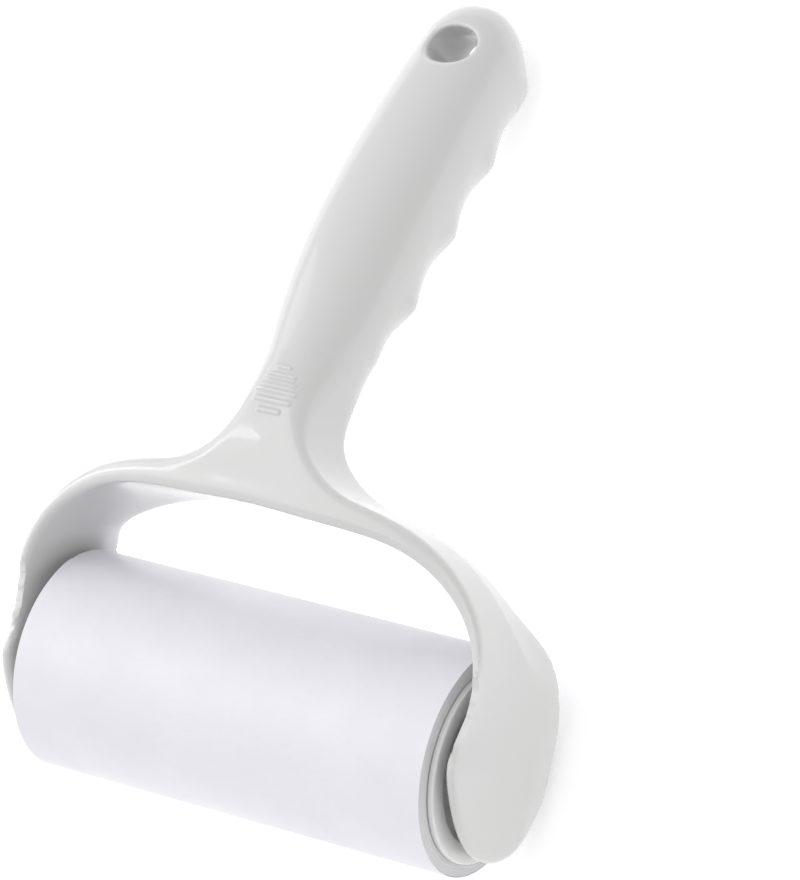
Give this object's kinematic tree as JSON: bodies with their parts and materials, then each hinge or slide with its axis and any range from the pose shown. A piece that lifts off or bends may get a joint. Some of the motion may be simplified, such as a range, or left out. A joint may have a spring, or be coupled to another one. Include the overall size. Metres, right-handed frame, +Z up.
{
  "type": "lint roller",
  "caption": "Adhesive lint roller: a paper roll spins between the two paddles of a yoke on a curved hollow grip with finger hollows, thumb ribs and a hang hole.",
  "frame": {"origin": "on the table under the middle of the object's box, with the roller lying on its roll and the end of its grip, thumb side up", "axes": "+X along the roll's axis, +Y from the roll towards the end of the grip, +Z up"},
  "size_m": [0.1148, 0.1804, 0.0569],
  "materials": {
    "handle_plastic": "glossy white moulded plastic",
    "cap_plastic": "satin white moulded plastic",
    "pin_plastic": "plain white moulded plastic",
    "kraft_board": "brown spiral-wound kraft board",
    "layered_paper": "edges of wound adhesive sheets",
    "sheet_paper": "white sheet with a satin adhesive coat"
  },
  "bodies": {
    "handle": {"yoke_frame": "handle_plastic", "grip_cover": "handle_plastic", "axle_pin_left": "pin_plastic", "axle_pin_right": "pin_plastic"},
    "roll": {"end_cap_left": "cap_plastic", "end_cap_right": "cap_plastic", "paper_core": "kraft_board", "wound_sheets": "layered_paper", "top_sheet": "sheet_paper"}
  },
  "joints": [
    {"name": "roll_spin", "type": "hinge", "parent": "handle", "child": "roll", "pos_m": [0, -0.0662, 0.024], "axis": [1, 0, 0], "continuous": true}
  ]
}
